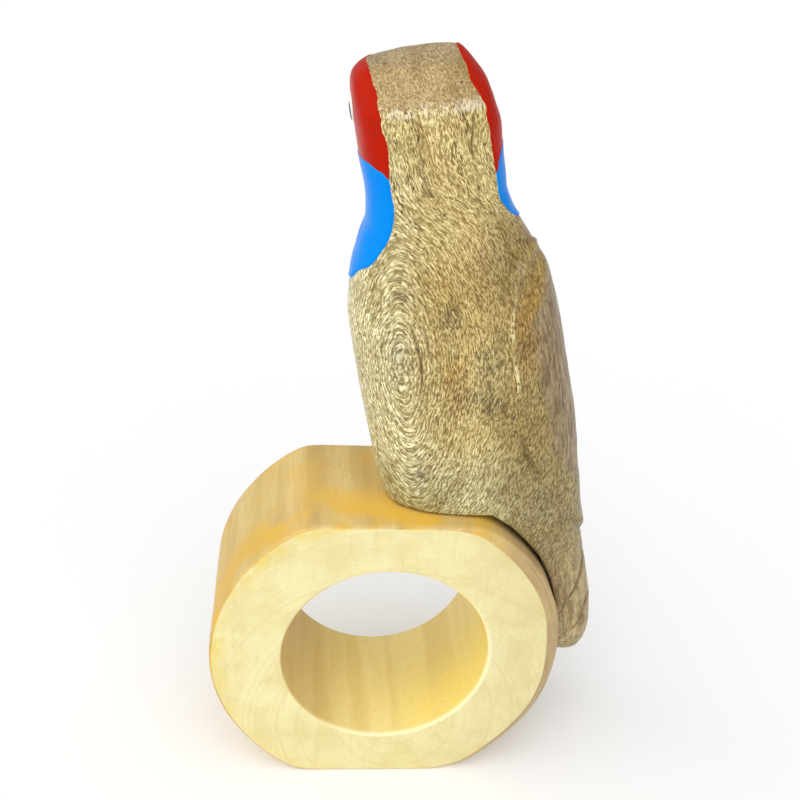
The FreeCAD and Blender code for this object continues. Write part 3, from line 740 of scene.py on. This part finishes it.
# ---------------------------------------------------------------- node materials
class Nodes:
    """A short way to write a material's node tree."""

    def __init__(self, name):
        self.material = bpy.data.materials.new(name)
        self.material.use_nodes = True
        self.tree = self.material.node_tree
        self.shader = self.tree.nodes["Principled BSDF"]

    def add(self, kind, inputs=None, **settings):
        node = self.tree.nodes.new(kind)
        for key, value in settings.items():
            setattr(node, key, value)
        for key, value in (inputs or {}).items():
            self.feed(node.inputs[key], value)
        return node

    def feed(self, socket, value):
        if isinstance(value, bpy.types.NodeSocket):
            self.tree.links.new(value, socket)
        else:
            socket.default_value = value

    def math(self, operation, first, second=0.0):
        return self.add("ShaderNodeMath", {0: first, 1: second}, operation=operation).outputs[0]

    def times(self, first, second):
        return self.math("MULTIPLY", first, second)

    def plus(self, first, second):
        return self.math("ADD", first, second)

    def minus(self, first, second):
        return self.math("SUBTRACT", first, second)

    def vector_math(self, operation, first, second=(0, 0, 0)):
        return self.add("ShaderNodeVectorMath", {0: first, 1: second}, operation=operation).outputs[0]

    def length(self, vector):
        return self.add("ShaderNodeVectorMath", {0: vector}, operation="LENGTH").outputs["Value"]

    def scale(self, vector, factors):
        return self.vector_math("MULTIPLY", vector, factors)

    def noise(self, vector, size, detail=2.0, rough=0.5, colour=False):
        """Noise with features of the given size in the vector's own unit."""
        node = self.add("ShaderNodeTexNoise", {"Vector": vector, "Scale": 1.0 / size,
                                               "Detail": detail, "Roughness": rough})
        return node.outputs["Color" if colour else "Fac"]

    def step(self, value, low, high):
        """0 below low, 1 above high, smooth between; low may be above high."""
        node = self.add("ShaderNodeMapRange", {"Value": value, "From Min": low, "From Max": high,
                                               "To Min": 0.0, "To Max": 1.0})
        node.interpolation_type = "SMOOTHSTEP"
        return node.outputs[0]

    def mix(self, factor, first, second, blend="MIX"):
        node = self.add("ShaderNodeMix", data_type="RGBA", blend_type=blend)
        for socket, value in zip((node.inputs["Factor"], node.inputs[6], node.inputs[7]),
                                 (factor, first, second)):
            if not isinstance(value, bpy.types.NodeSocket) and socket != node.inputs["Factor"]:
                value = (*value, 1.0)
            self.feed(socket, value)
        return node.outputs[2]

    def millimetres(self, lean=0.0):
        """The surface point in millimetres, in the part's frame or a frame leaning about Y."""
        place = self.add("ShaderNodeTexCoord").outputs["Object"]
        node = self.add("ShaderNodeMapping", {"Vector": place, "Scale": (1 / MM,) * 3,
                                              "Rotation": (0.0, lean, 0.0)})
        return node.outputs[0]

    def split(self, vector):
        return self.add("ShaderNodeSeparateXYZ", {0: vector}).outputs

    def join(self, x, y, z):
        return self.add("ShaderNodeCombineXYZ", {0: x, 1: y, 2: z}).outputs[0]

    def mark(self, name):
        return self.add("ShaderNodeAttribute", attribute_name=name).outputs["Fac"]

    def between(self, value, start, full, fading, gone):
        """1 from full to fading, and 0 before start and after gone."""
        return self.times(self.step(value, start, full), self.step(value, gone, fading))

    def tint(self, colour, mask, amount, tone):
        """Mix a tone into a colour, by the mask times the amount."""
        return self.mix(self.times(mask, amount), colour, tone)

    def shade(self, colour, mask, amount, tone):
        """Multiply a colour by a tone, by the mask times the amount."""
        factor = self.mix(self.times(mask, amount), (1, 1, 1), tone)
        return self.mix(1.0, colour, factor, "MULTIPLY")

    def wander(self, vector, size, amount, detail=2.0):
        """The vector pushed about by noise of the given feature size."""
        push = self.vector_math("SUBTRACT", self.noise(vector, size, detail, colour=True), (0.5, 0.5, 0.5))
        return self.vector_math("ADD", vector, self.scale(push, (amount,) * 3))

    def finish(self, colour, roughness, height=None, depth=0.05, strength=1.0, **constants):
        self.feed(self.shader.inputs["Base Color"], colour)
        self.feed(self.shader.inputs["Roughness"], roughness)
        for key, value in constants.items():
            self.shader.inputs[key.replace("_", " ")].default_value = value
        if height is not None:
            bump = self.add("ShaderNodeBump", {"Height": height, "Distance": depth * MM,
                                               "Strength": strength})
            self.tree.links.new(bump.outputs[0], self.shader.inputs["Normal"])
        return self.material


def tint_blotch(n, colour, place, edge, fibre, spot):
    """Tint a blotch of wood with an uneven outline, and its darker fibres most."""
    across, up, reach, tone, strength = spot
    away = n.scale(n.vector_math("SUBTRACT", place, (across, STAIN_ALONG, up)), (1.0, 0.6, 0.75))
    gap = n.plus(n.length(away), n.times(edge, reach * 3.2))
    soaked = n.plus(0.42, n.times(n.step(fibre, 0.60, 0.44), 0.58))
    mask = n.times(n.step(gap, reach * 2.9, reach * 1.3), soaked)
    return n.tint(colour, mask, strength, tone)


def crack(n, colour, across, up, line):
    """Darken a thin nearly upright line, which fades out at both ends."""
    (start_across, top), (end_across, bottom), half_width, strength = line
    slope = (start_across - end_across) / (top - bottom)
    middle = n.plus(n.times(n.minus(up, top), slope), start_across)
    gap = n.math("ABSOLUTE", n.minus(across, middle))
    ends = n.between(up, bottom - 0.8, bottom + 1.5, top - 1.5, top + 0.8)
    mask = n.times(n.step(gap, half_width * 1.6, half_width * 0.4), ends)
    return n.shade(colour, mask, strength, (0.24, 0.15, 0.07))


def growth_layers(n, bent):
    """A field whose level sets are the wood's growth layers."""
    x, y, z = n.split(bent)
    across = n.minus(x, FIGURE_PLACE[0])
    width = n.length(n.join(across, n.minus(y, FIGURE_PLACE[1]), 0.8))
    rise = n.minus(z, FIGURE_PLACE[2])
    core = n.times(n.math("TANH", n.math("DIVIDE", rise, FIGURE_HEART)), FIGURE_HEART)
    length = n.math("DIVIDE", n.math("ABSOLUTE", n.minus(rise, core)), FIGURE_STRETCH)
    total = n.plus(n.math("POWER", width, FIGURE_POWER), n.math("POWER", length, FIGURE_POWER))
    spindles = n.math("POWER", total, 1 / FIGURE_POWER)
    upright = n.plus(n.plus(across, n.times(n.minus(z, 105.0), 0.12)), 10.0)
    straight = n.step(z, 105.0, 118.0)
    return n.plus(spindles, n.times(n.minus(upright, spindles), straight))


def bird_wood():
    n = Nodes("bird_wood")
    place = n.millimetres(LEAN)
    across, along, up = n.split(place)
    wing = n.mark("wing")
    bent = n.wander(n.wander(place, 11.0, 2.6), 1.7, 0.45)
    x, y, z = n.split(bent)
    layer = growth_layers(n, bent)
    broad = n.noise(place, 15.0, 3.0, 0.6)
    edge = n.noise(place, 4.0, 3.0, 0.6)
    ragged = n.times(edge, 8.0)

    # The parts of the carving that look different, as masks.
    figured = n.times(n.step(across, 27.0, 18.0), n.step(up, 118.0, 108.0))
    nape = n.between(up, 100.0, 110.0, 124.6, 126.2)
    crown = n.step(up, 124.8, 126.0)
    tail = n.step(n.plus(up, ragged), 52.0, 36.0)
    outer = n.step(n.plus(wing, n.times(edge, 3.0)), 4.8, 7.4)
    smooth = n.math("MAXIMUM", outer, tail)

    # Growth lines, and fibres that run along them as short dark and pale strokes.
    lines = n.math("SINE", n.times(layer, 2 * math.pi / LINE_SPACING))
    heavy = n.math("SINE", n.times(layer, 2 * math.pi / HEAVY_SPACING))
    grown = n.join(layer, z, n.times(n.plus(x, y), 0.8))
    fibre = n.noise(n.scale(grown, (5.4, 1.05, 0.9)), 1.0, 1.0, 0.5)
    worms = n.noise(n.scale(grown, (3.1, 2.2, 2.4)), 1.0, 1.0, 0.5)
    drift = n.noise(n.scale(grown, (0.42, 0.13, 0.2)), 1.0, 3.0, 0.6)
    grain = n.mix(crown, n.join(fibre, worms, 0.0), n.join(worms, n.noise(place, 0.42, 1.0), 0.0))
    fibre, worms, _ = n.split(grain)
    grit = n.noise(n.vector_math("ADD", place, (3.0, 9.0, 5.0)), 0.42, 1.0, 0.5)
    hairs = n.noise(n.scale(bent, (1.5, 2.2, 0.16)), 1.0, 2.0, 0.5)
    streaks = n.noise(n.scale(n.join(layer, z, y), (1.1, 0.09, 0.3)), 1.0, 2.0, 0.6)
    pit = n.add("ShaderNodeTexVoronoi", {"Vector": place, "Scale": 0.42})
    picked = n.math("GREATER_THAN", n.split(pit.outputs["Color"])[0], 0.72)
    pores = n.times(n.step(pit.outputs["Distance"], 0.15, 0.07), picked)

    # Broad colour: straw on the left, browner on the right, the wings and the tail. The paler left and
    # browner right are partly the wood's own colour and partly painted light: painted sheen on the left
    # and painted shade on the right.
    pale = n.times(n.step(n.plus(across, ragged), 25.0, 14.0), n.step(up, 125.0, 117.0))
    brown = n.times(n.step(n.plus(across, n.times(edge, 10.0)), 28.0, 37.0), n.step(up, 112.0, 101.0))
    band = n.times(n.step(wing, 0.2, 1.0), n.step(n.plus(up, ragged), 78.0, 90.0))
    colour = n.mix(n.step(broad, 0.30, 0.70), (0.73, 0.59, 0.25), (0.61, 0.46, 0.165))
    for mask, amount, tone in (
            (pale, 0.85, (0.83, 0.78, 0.45)),
            (n.step(up, 72.0, 58.0), 0.75, (0.61, 0.60, 0.335)),
            (brown, 0.75, (0.29, 0.20, 0.055)),
            (crown, 0.80, (0.41, 0.275, 0.11)),
            (n.step(up, 129.6, 131.6), 0.5, (0.37, 0.29, 0.18)),
            (band, 0.65, (0.42, 0.265, 0.06))):
        colour = n.tint(colour, mask, amount, tone)
    # Stains in the wood, and the painted highlight on the shoulder.
    for spot in STAINS_AND_HIGHLIGHT:
        colour = tint_blotch(n, colour, place, edge, fibre, spot)
    colour = n.tint(colour, tail, 0.80, (0.45, 0.345, 0.165))
    colour = n.tint(colour, outer, 0.85, (0.315, 0.238, 0.138))

    # The grain is strong on the flank and faint on the wing's outer face and the tail.
    strength = n.minus(1.0, n.math("MAXIMUM", n.times(smooth, 0.60), n.times(crown, 0.35)))
    drawn = n.times(n.step(lines, -0.1, 0.7), n.times(figured, n.step(edge, 0.30, 0.50)))
    ringed = n.times(n.step(heavy, 0.35, 0.95), n.times(figured, n.step(worms, 0.40, 0.56)))
    streaked = n.times(n.times(n.step(streaks, 0.53, 0.64), n.step(fibre, 0.58, 0.46)), nape)
    for mask, amount, tone in (
            (n.times(n.step(fibre, 0.515, 0.42), strength), 0.80, (0.40, 0.33, 0.18)),
            (n.times(n.step(worms, 0.49, 0.39), strength), 0.45, (0.46, 0.38, 0.22)),
            (n.times(n.step(fibre, 0.53, 0.62), strength), 0.70, (1.38, 1.45, 1.72)),
            (n.step(drift, 0.50, 0.66), 0.55, (0.62, 0.53, 0.36)),
            (n.step(drift, 0.44, 0.30), 0.45, (1.25, 1.28, 1.40)),
            (drawn, 0.55, (0.46, 0.39, 0.21)),
            (ringed, 0.40, (0.45, 0.37, 0.20)),
            (streaked, 0.75, (0.38, 0.27, 0.12)),
            (n.times(n.step(hairs, 0.51, 0.41), smooth), 0.80, (0.56, 0.47, 0.35)),
            (n.times(n.step(hairs, 0.54, 0.64), smooth), 0.65, (1.32, 1.32, 1.38)),
            (n.times(n.step(grit, 0.46, 0.34), strength), 0.35, (0.45, 0.38, 0.25))):
        colour = n.shade(colour, mask, amount, tone)
    for line in CRACKS:
        colour = crack(n, colour, x, up, line)
    colour = n.tint(colour, pores, 0.8, (0.06, 0.04, 0.018))
    # Painted shade: darker in the cut under the wing's edge and in the feather grooves, broken up by
    # noise.
    crease_shade = n.times(n.mark("crease"), n.step(edge, 0.22, 0.50))
    colour = n.tint(colour, crease_shade, 0.75, (0.13, 0.09, 0.04))

    # Painted highlights: pale bands where the crown's ridge and the wing's leading edge catch the light.
    ridge = n.times(n.between(up, 123.9, 124.8, 125.4, 126.5), n.step(along, -3.0, -6.0))
    ridge = n.times(ridge, n.step(n.plus(fibre, edge), 0.84, 1.10))
    colour = n.tint(colour, ridge, 0.55, (0.86, 0.78, 0.60))
    # Painted highlight along the wing's leading bead, broken up by the grain.
    bead = n.times(n.between(wing, 0.10, 0.40, 0.70, 1.05), n.between(up, 75.0, 80.0, 90.0, 98.0))
    bead = n.times(bead, n.step(fibre, 0.36, 0.52))
    bead = n.times(bead, n.step(n.noise(n.scale(place, (1.0, 1.0, 0.35)), 1.3, 2.0), 0.36, 0.56))
    colour = n.tint(colour, bead, 0.75, (0.90, 0.82, 0.42))

    relief = n.minus(n.times(fibre, 1.2), n.times(pores, 0.8))
    relief = n.plus(relief, n.times(n.plus(worms, grit), 0.6))
    relief = n.times(relief, n.plus(0.25, n.times(strength, 0.75)))
    roughness = n.plus(0.34, n.times(fibre, 0.2))
    return n.finish(colour, roughness, relief, depth=0.10, strength=0.8,
                    Specular_IOR_Level=0.35, Coat_Weight=0.15, Coat_Roughness=0.25)


def ring_wood():
    n = Nodes("ring_wood")
    place = n.millimetres()
    x, y, z = n.split(place)
    height = n.minus(z, BORE_UP)
    radial = n.length(n.join(x, 0.0, height))
    facing = n.math("ABSOLUTE", n.split(n.add("ShaderNodeNewGeometry").outputs["Normal"])[1])
    face = n.step(facing, 0.86, 0.97)
    mottle = n.noise(place, 7.0, 3.0, 0.6)
    soft = n.noise(n.vector_math("ADD", place, (7.0, 50.0, 3.0)), 9.0, 2.0, 0.5)
    blotch = n.noise(n.vector_math("ADD", place, (30.0, 11.0, 0.0)), 4.5, 3.0, 0.6)
    speck = n.noise(place, 0.5, 2.0)
    bent = n.wander(place, 16.0, 3.0)
    bent_x, _, bent_z = n.split(bent)

    # End grain: pale, with faint growth arcs about a pith below the bore, and upright rays.
    pith = n.join(n.minus(bent_x, 3.0), 0.0, n.minus(bent_z, BORE_UP - 16.0))
    arcs = n.noise(n.join(n.length(pith), 0.0, 0.0), 1.0, 3.0, 0.7)
    rays = n.noise(n.scale(bent, (1.0, 0.4, 0.05)), 1.1, 4.0, 0.6)
    pale = n.mix(n.step(mottle, 0.35, 0.7), (0.85, 0.775, 0.415), (0.77, 0.675, 0.32))
    pale = n.tint(pale, n.step(arcs, 0.48, 0.66), 0.34, (0.69, 0.56, 0.24))
    pale = n.tint(pale, n.step(rays, 0.50, 0.70), 0.22, (0.69, 0.55, 0.24))
    pale = n.tint(pale, n.step(speck, 0.56, 0.72), 0.22, (0.54, 0.38, 0.13))
    rim = n.step(radial, RING_RADIUS - 4.2, RING_RADIUS - 0.4)
    upper_left = n.step(n.minus(height, x), 6.0, 40.0)
    honey = n.times(rim, n.plus(0.30, n.times(upper_left, 0.7)))
    honey = n.times(honey, n.step(blotch, 0.30, 0.66))
    pale = n.mix(honey, pale, (0.80, 0.62, 0.15))
    # Painted shade: the end grain darkens towards the right and towards the bottom, away from the light.
    pale = n.shade(pale, n.step(x, 4.0, 30.0), 0.6, (0.84, 0.82, 0.86))
    pale = n.shade(pale, n.step(height, -8.0, -28.0), 0.7, (0.92, 0.90, 0.86))

    # Side grain runs along the bore, in bands of tan and gold.
    grain = n.noise(n.scale(bent, (1.0, 0.06, 1.0)), 0.7, 3.0, 0.6)
    dots = n.noise(n.scale(place, (1.0, 0.5, 1.0)), 0.45, 2.0, 0.5)
    bands = n.noise(n.scale(bent, (1.0, 0.05, 1.0)), 5.5, 2.0, 0.5)
    layers = n.noise(n.join(radial, n.times(height, 0.05), 0.0), 0.35, 2.0, 0.5)
    right = n.step(x, 14.0, 26.0)
    tan = n.mix(n.step(bands, 0.35, 0.65), (0.74, 0.55, 0.215), (0.60, 0.41, 0.14))
    tan = n.tint(tan, right, 0.75, (0.49, 0.36, 0.185))
    tan = n.tint(tan, n.times(right, n.step(layers, 0.48, 0.62)), 0.60, (0.38, 0.25, 0.11))
    tan = n.tint(tan, n.step(grain, 0.50, 0.66), 0.30, (0.55, 0.36, 0.13))
    tan = n.tint(tan, n.step(dots, 0.54, 0.70), 0.30, (0.52, 0.34, 0.12))
    stained = n.step(n.plus(soft, n.times(speck, 0.15)), 0.46, 0.72)
    stained = n.times(stained, n.step(right, 0.6, 0.0))
    stained = n.times(stained, n.plus(0.35, n.times(n.step(y, 2.0, -10.0), 0.6)))
    tan = n.mix(stained, tan, (0.78, 0.47, 0.06))
    # Painted shade: the side grain darkens on the ring's left side.
    tan = n.shade(tan, n.step(x, -15.0, -26.0), 1.0, (0.88, 0.88, 0.80))

    # The bore's wall is the same side grain, with painted shade on its left wall and a painted pool of
    # light on its right wall near the front.
    bore = n.step(radial, BORE_RADIUS + 1.2, BORE_RADIUS + 0.4)
    # Painted light: where light falls on the bore's right wall near the front.
    lit = n.step(n.minus(x, n.times(mottle, 16.0)), -12.0, 8.0)
    lit = n.times(lit, n.step(n.plus(y, n.times(soft, 10.0)), 14.0, -8.0))
    wall = n.mix(n.step(bands, 0.38, 0.62), (0.93, 0.79, 0.35), (0.84, 0.67, 0.26))
    # Painted shade on the bore's left wall.
    wall = n.shade(wall, n.step(x, -4.0, -17.0), 1.0, (0.76, 0.68, 0.64))
    wall = n.tint(wall, lit, 0.85, (0.95, 0.76, 0.18))
    wall = n.tint(wall, n.step(dots, 0.54, 0.70), 0.25, (0.70, 0.48, 0.17))
    colour = n.mix(face, n.mix(bore, tan, wall), pale)

    # Paler edges: the top flat's front edge, worn pale in patches, and a painted highlight along the lower
    # right of the bore's front edge, where its rounding faces the light.
    front = n.step(y, -RING_HALF_DEPTH + 1.0, -RING_HALF_DEPTH + 0.2)
    flat_edge = n.times(n.step(z, RING_HEIGHT - 0.9, RING_HEIGHT - 0.1), n.step(y, -12.6, -14.1))
    flat_edge = n.times(flat_edge, n.step(n.noise(place, 3.5, 2.0), 0.30, 0.60))
    # Painted highlight on the bore's front edge, at the lower right only.
    bore_edge = n.times(n.step(radial, BORE_RADIUS + 0.9, BORE_RADIUS + 0.3), front)
    bore_edge = n.times(bore_edge, n.step(n.minus(x, height), -2.0, 16.0))
    worn = n.math("MAXIMUM", n.times(flat_edge, 0.22), n.times(bore_edge, 0.8))
    colour = n.mix(worn, colour, (0.96, 0.86, 0.52))
    relief = n.plus(n.times(grain, 0.6), n.times(dots, 0.5))
    roughness = n.plus(0.40, n.times(grain, 0.18))
    return n.finish(colour, roughness, relief, depth=0.05, strength=0.6, Specular_IOR_Level=0.3)


def enamel(name, colour, worn):
    """Brushed gloss enamel, with soft brush marks and a slightly uneven colour."""
    n = Nodes(name)
    place = n.millimetres(LEAN)
    brush = n.noise(n.scale(place, (1.0, 1.0, 0.18)), 0.9, 3.0, 0.6)
    patch = n.noise(place, 5.0, 3.0, 0.6)
    tone = n.mix(n.step(patch, 0.30, 0.72), colour, worn)
    tone = n.tint(tone, n.step(brush, 0.55, 0.75), 0.25, worn)
    roughness = n.plus(0.24, n.times(patch, 0.16))
    return n.finish(tone, roughness, brush, depth=0.03, strength=0.5,
                    Specular_IOR_Level=0.15, IOR=1.25)


def glue_material():
    n = Nodes("glue")
    place = n.millimetres()
    lumps = n.noise(place, 1.4, 3.0)
    tone = n.mix(lumps, (0.30, 0.20, 0.08), (0.42, 0.30, 0.13))
    return n.finish(tone, n.plus(0.25, n.times(lumps, 0.2)), lumps,
                    depth=0.06, strength=0.6)


def floor_material():
    """A white light table: matt, and glowing faintly from below."""
    n = Nodes("floor")
    shader = n.shader
    shader.inputs["Base Color"].default_value = (0.86, 0.86, 0.86, 1.0)
    shader.inputs["Roughness"].default_value = 0.9
    shader.inputs["Specular IOR Level"].default_value = 0.0
    shader.inputs["Emission Color"].default_value = (1.0, 1.0, 1.0, 1.0)
    shader.inputs["Emission Strength"].default_value = 0.10
    return n.material


def add_piece(item, material, node):
    item.data.materials.clear()
    item.data.materials.append(material)
    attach(item, "root")
    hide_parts(node)


def sun_light(name, source, strength, spread):
    data = bpy.data.lights.new(name, "SUN")
    data.energy, data.angle = strength, math.radians(spread)
    light = bpy.data.objects.new(name, data)
    light.rotation_euler = Vector(source).to_track_quat("Z", "Y").to_euler()
    bpy.context.scene.collection.objects.link(light)


build_camera()
red = enamel("red_enamel", (0.47, 0.011, 0.001), (0.42, 0.014, 0.003))
blue = enamel("blue_enamel", (0.0, 0.23, 0.80), (0.0, 0.25, 0.78))
white = enamel("white_enamel", (0.85, 0.84, 0.80), (0.78, 0.76, 0.70))
black = enamel("black_enamel", (0.012, 0.012, 0.014), (0.022, 0.020, 0.020))

bird = carve_bird()
detail_bird(bird)
bird.name = "bird_carved"
wood = bird_wood()
add_piece(film("cheek_left", bird, red_left, PAINT), red, "cheek_paint_left")
add_piece(film("cheek_right", bird, red_right, PAINT), red, "cheek_paint_right")
add_piece(film("throat", bird, blue_throat, THICK_PAINT), blue, "throat_paint")
add_piece(film("beak_skin", bird, black_beak, PAINT), black, "beak_paint")
tree = BVHTree.FromPolygons([Vector(p) for p in mesh_points(bird)],
                            [tuple(p.vertices) for p in bird.data.polygons])
for side_name, side in (("left", -1), ("right", 1)):
    proud = 1.0 if side < 0 else 0.45
    disc = eye_disc(f"eye_{side_name}", tree, side, EYE_RADIUS, 0.26 * proud, PAINT, EYE_PLACE)
    add_piece(disc, white, f"eye_white_{side_name}")
    disc = eye_disc(f"eye_pupil_{side_name}", tree, side, PUPIL_RADIUS, 0.18 * proud,
                    PAINT + 0.20 * proud, PUPIL_PLACE)
    add_piece(disc, black, f"pupil_{side_name}")
add_piece(bird, wood, "bird")
add_piece(build_ring(), ring_wood(), "ring")
add_piece(build_glue(), glue_material(), "glue_bed")

floor = make_object("floor", [(-1500, -1500, 0), (1500, -1500, 0), (1500, 1500, 0), (-1500, 1500, 0)],
                    [(0, 1, 2, 3)])
floor.data.materials.append(floor_material())
world = bpy.data.worlds.new("studio")
bpy.context.scene.world = world
world.use_nodes = True
world.node_tree.nodes["Background"].inputs["Color"].default_value = (1, 1, 1, 1)
world.node_tree.nodes["Background"].inputs["Strength"].default_value = 0.50
bpy.context.scene.view_settings.view_transform = "Standard"
sun_light("left_softbox", (-0.80, -0.42, 0.42), 1.8, 100.0)
sun_light("top_softbox", (0.05, -0.55, 0.83), 1.1, 60.0)
